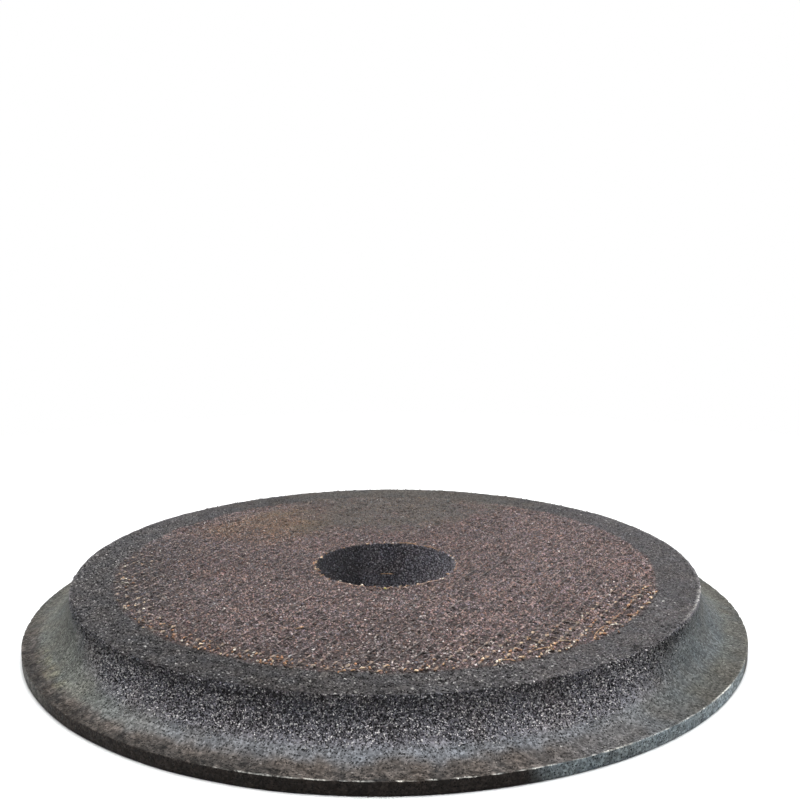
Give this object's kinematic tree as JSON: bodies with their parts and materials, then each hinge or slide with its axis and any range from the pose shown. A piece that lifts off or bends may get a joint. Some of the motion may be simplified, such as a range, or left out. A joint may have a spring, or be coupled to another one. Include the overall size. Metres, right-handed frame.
{
  "type": "stone edge profiling disc",
  "caption": "Round abrasive disc with a flat net-faced front, a plain bore and a hollow quarter-round cove above a thin rim, for shaping stone edges.",
  "frame": {"origin": "centre of the flat back face, on the axis of the bore", "axes": "+Z along the bore from the back face to the net-faced front; +X and +Y lie in the back face"},
  "size_m": [0.25, 0.25, 0.02],
  "materials": {
    "bonded_grit": "matte",
    "glass_yarn": "matte"
  },
  "bodies": {
    "root": {"abrasive_body": "bonded_grit", "face_net": "glass_yarn"}
  },
  "joints": []
}
